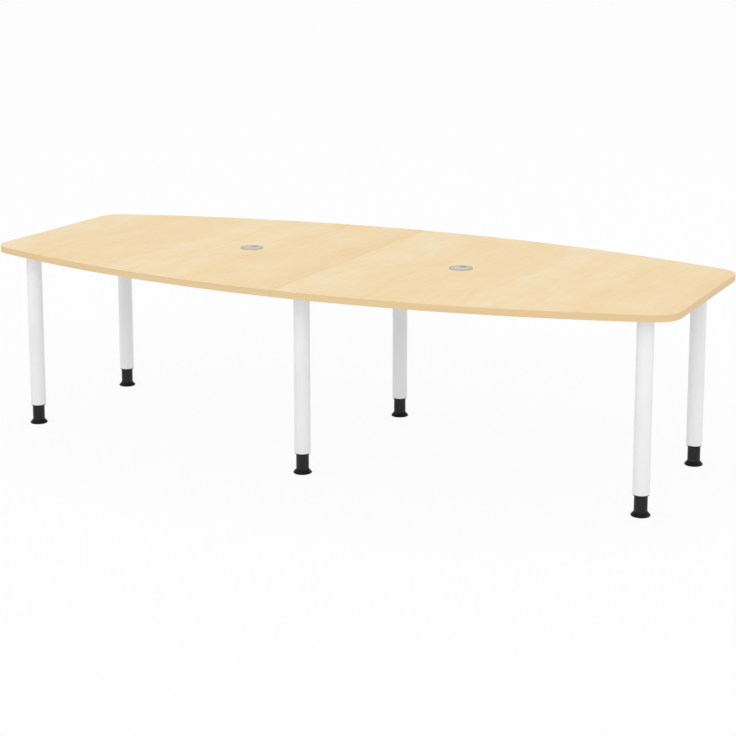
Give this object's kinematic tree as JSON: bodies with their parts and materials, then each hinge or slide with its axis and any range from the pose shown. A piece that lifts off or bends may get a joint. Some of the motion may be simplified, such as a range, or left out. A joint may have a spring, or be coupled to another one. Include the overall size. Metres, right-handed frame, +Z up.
{
  "type": "conference table",
  "caption": "Boat-shaped conference table: a two-part maple top with cable outlets on round white legs with black height-adjusting feet.",
  "frame": {"origin": "on the floor, under the middle of the seam", "axes": "+X along the table to its right end, +Y to its rear, +Z up"},
  "size_m": [2.8, 1.3, 0.7391],
  "materials": {
    "maple_face": "pale maple melamine",
    "maple_edge": "maple edge band",
    "white_coat": "white powder coat",
    "black_plastic": "moulded black",
    "grey_plastic": "moulded grey",
    "zinc_steel": "zinc plated",
    "beech": "raw beech"
  },
  "bodies": {
    "table": {"tabletop_left": "maple_face", "tabletop_right": "maple_face", "edge_band_left": "maple_edge", "edge_band_right": "maple_edge", "outlet_sleeve_left": "grey_plastic", "outlet_sleeve_right": "grey_plastic", "leg_tube_front_left": "white_coat", "leg_tube_rear_left": "white_coat", "leg_tube_front_middle": "white_coat", "leg_tube_rear_middle": "white_coat", "leg_tube_front_right": "white_coat", "leg_tube_rear_right": "white_coat", "leg_plate_front_left": "white_coat", "leg_plate_rear_left": "white_coat", "leg_plate_front_middle": "white_coat", "leg_plate_rear_middle": "white_coat", "leg_plate_front_right": "white_coat", "leg_plate_rear_right": "white_coat", "set_screw_front_left": "zinc_steel", "set_screw_rear_left": "zinc_steel", "set_screw_front_middle": "zinc_steel", "set_screw_rear_middle": "zinc_steel", "set_screw_front_right": "zinc_steel", "set_screw_rear_right": "zinc_steel", "foot_bush_front_left": "black_plastic", "foot_bush_rear_left": "black_plastic", "foot_bush_front_middle": "black_plastic", "foot_bush_rear_middle": "black_plastic", "foot_bush_front_right": "black_plastic", "foot_bush_rear_right": "black_plastic", "spindle_nut_front_left": "zinc_steel", "spindle_nut_rear_left": "zinc_steel", "spindle_nut_front_middle": "zinc_steel", "spindle_nut_rear_middle": "zinc_steel", "spindle_nut_front_right": "zinc_steel", "spindle_nut_rear_right": "zinc_steel", "joint_plate_front": "zinc_steel", "joint_plate_middle": "zinc_steel", "joint_plate_rear": "zinc_steel", "dowel_front_outer": "beech", "dowel_front_inner": "beech", "dowel_rear_inner": "beech", "dowel_rear_outer": "beech"},
    "adjuster_front_left": {"foot_front_left": "black_plastic", "foot_spindle_front_left": "zinc_steel"},
    "adjuster_rear_left": {"foot_rear_left": "black_plastic", "foot_spindle_rear_left": "zinc_steel"},
    "adjuster_front_middle": {"foot_front_middle": "black_plastic", "foot_spindle_front_middle": "zinc_steel"},
    "adjuster_rear_middle": {"foot_rear_middle": "black_plastic", "foot_spindle_rear_middle": "zinc_steel"},
    "adjuster_front_right": {"foot_front_right": "black_plastic", "foot_spindle_front_right": "zinc_steel"},
    "adjuster_rear_right": {"foot_rear_right": "black_plastic", "foot_spindle_rear_right": "zinc_steel"},
    "lid_left": {"outlet_lid_left": "grey_plastic"},
    "shutter_left": {"outlet_shutter_left": "grey_plastic"},
    "lid_right": {"outlet_lid_right": "grey_plastic"},
    "shutter_right": {"outlet_shutter_right": "grey_plastic"}
  },
  "joints": [
    {"name": "adjust_front_left", "type": "slide", "parent": "table", "child": "adjuster_front_left", "axis": [0, 0, -1], "range_m": [-0.057, 0.023]},
    {"name": "adjust_rear_left", "type": "slide", "parent": "table", "child": "adjuster_rear_left", "axis": [0, 0, -1], "range_m": [-0.057, 0.023]},
    {"name": "adjust_front_middle", "type": "slide", "parent": "table", "child": "adjuster_front_middle", "axis": [0, 0, -1], "range_m": [-0.057, 0.023]},
    {"name": "adjust_rear_middle", "type": "slide", "parent": "table", "child": "adjuster_rear_middle", "axis": [0, 0, -1], "range_m": [-0.057, 0.023]},
    {"name": "adjust_front_right", "type": "slide", "parent": "table", "child": "adjuster_front_right", "axis": [0, 0, -1], "range_m": [-0.057, 0.023]},
    {"name": "adjust_rear_right", "type": "slide", "parent": "table", "child": "adjuster_rear_right", "axis": [0, 0, -1], "range_m": [-0.057, 0.023]},
    {"name": "lift_lid_left", "type": "slide", "parent": "table", "child": "lid_left", "axis": [0, 0, 1], "range_m": [0, 0.04]},
    {"name": "turn_shutter_left", "type": "hinge", "parent": "lid_left", "child": "shutter_left", "pos_m": [-0.45, 0, 0.735], "axis": [0, 0, 1], "range_deg": [0, 90]},
    {"name": "lift_lid_right", "type": "slide", "parent": "table", "child": "lid_right", "axis": [0, 0, 1], "range_m": [0, 0.04]},
    {"name": "turn_shutter_right", "type": "hinge", "parent": "lid_right", "child": "shutter_right", "pos_m": [0.45, 0, 0.735], "axis": [0, 0, 1], "range_deg": [0, 90]}
  ]
}
